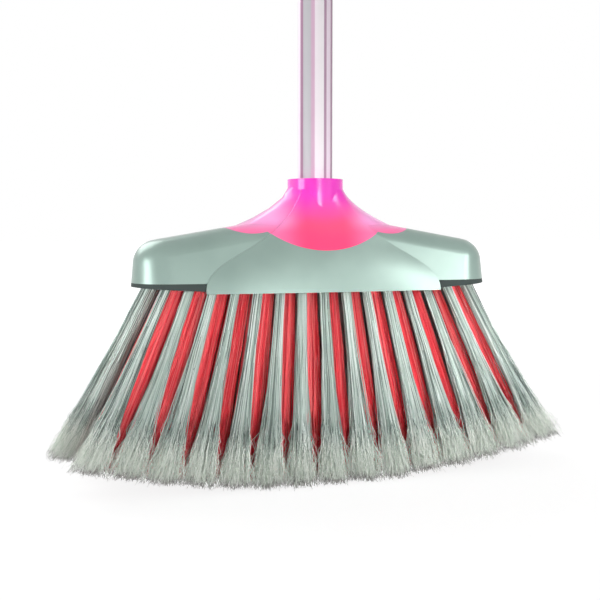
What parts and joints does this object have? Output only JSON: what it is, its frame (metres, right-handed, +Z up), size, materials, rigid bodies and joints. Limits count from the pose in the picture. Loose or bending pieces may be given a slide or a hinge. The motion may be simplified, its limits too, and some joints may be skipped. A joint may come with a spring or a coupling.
{
  "type": "broom",
  "caption": "Upright broom with a fanned head of grey and red tufts under a silver cover, a pink petalled neck and a round handle that screws into it, with a hanging eye at the top.",
  "frame": {"origin": "on the floor under the handle's axis, where the middle tuft tips stand", "axes": "+Z up along the handle, +X along the head, -Y towards the picture's front"},
  "size_m": [0.3356, 0.0918, 1.4186],
  "materials": {
    "cover_silver": "pearl silver with a green cast, satin gloss",
    "neck_pink": "glossy pink",
    "block_grey": "matt dark grey",
    "tuft_grey": "pale grey filament",
    "tuft_red": "red filament",
    "tube_steel": "plain thin steel under the film",
    "handle_film": "glossy pale pink and silver film",
    "tip_white": "plain moulded plastic",
    "cap_pink": "glossy pink"
  },
  "bodies": {
    "head": {"head_cover": "cover_silver", "neck_socket": "neck_pink", "brush_block": "block_grey", "front_outer_tufts": "tuft_grey", "front_inner_tufts": "tuft_red", "middle_tufts": "tuft_grey", "rear_inner_tufts": "tuft_red", "rear_outer_tufts": "tuft_grey"},
    "handle_core": {"handle_tube": "tube_steel"},
    "handle": {"handle_film": "handle_film", "threaded_tip": "tip_white", "hang_cap": "cap_pink"}
  },
  "joints": [
    {"name": "handle_rise", "type": "slide", "parent": "head", "child": "handle_core", "axis": [0, 0, 1], "range_m": [0, 0.035]},
    {"name": "handle_turn", "type": "hinge", "parent": "handle_core", "child": "handle", "pos_m": [0, 0, 0.1746], "axis": [0, 0, 1], "range_deg": [0, 2520]}
  ],
  "couplings": [
    {"joint": "handle_turn", "follows": "handle_rise", "rad_per_m": 1256.6}
  ]
}
